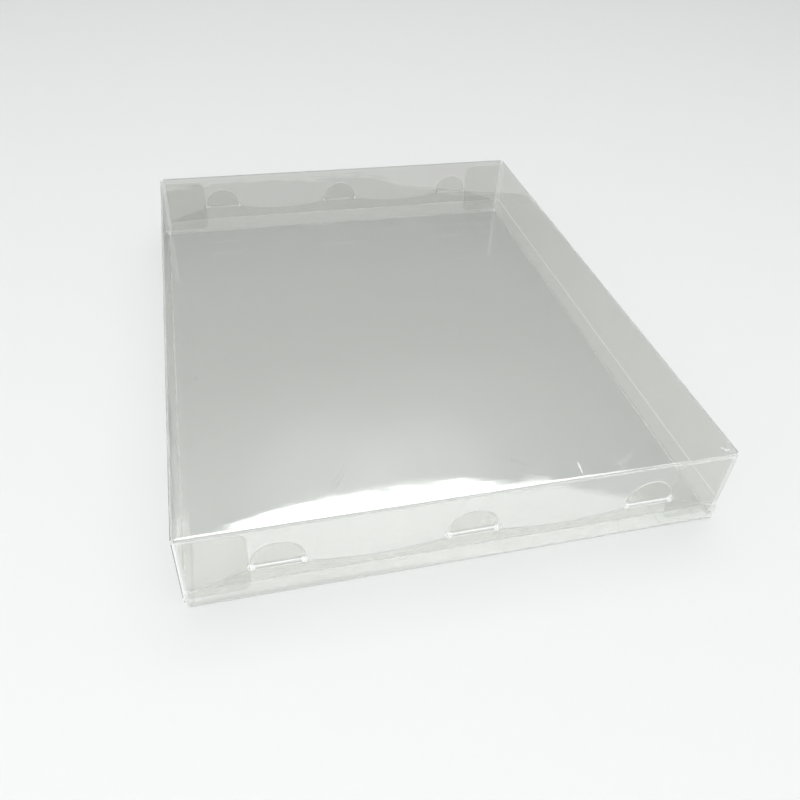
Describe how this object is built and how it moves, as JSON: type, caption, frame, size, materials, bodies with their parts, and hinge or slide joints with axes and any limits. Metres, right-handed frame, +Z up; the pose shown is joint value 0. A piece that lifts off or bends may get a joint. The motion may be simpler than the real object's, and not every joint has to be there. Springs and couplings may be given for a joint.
{
  "type": "clear game box protector",
  "caption": "Flat clear plastic box, folded from one sheet, with tabbed flaps locking through slots at each end, sized to sleeve a boxed video game.",
  "frame": {"origin": "centre of the base's underside, on the surface that it rests on", "axes": "+Z up, -Y towards the near closure, +X towards the wall with the glued lap"},
  "size_m": [0.254, 0.328, 0.043],
  "materials": {
    "clear_sheet": "clear glossy PET sheet, faintly grey-green at its cut edges and folds"
  },
  "bodies": {
    "sleeve": {"sleeve": "clear_sheet"},
    "front_flap": {"front_lock_flap": "clear_sheet", "front_lock_tabs": "clear_sheet"},
    "back_flap": {"back_lock_flap": "clear_sheet", "back_lock_tabs": "clear_sheet"}
  },
  "joints": [
    {"name": "front_flap_hinge", "type": "hinge", "parent": "sleeve", "child": "front_flap", "pos_m": [0, -0.1636, 0.0004], "axis": [1, 0, 0], "range_deg": [0, 90], "deforming": ["front_lock_tabs"]},
    {"name": "back_flap_hinge", "type": "hinge", "parent": "sleeve", "child": "back_flap", "pos_m": [0, 0.1636, 0.0004], "axis": [-1, 0, 0], "range_deg": [0, 90], "deforming": ["back_lock_tabs"]}
  ]
}
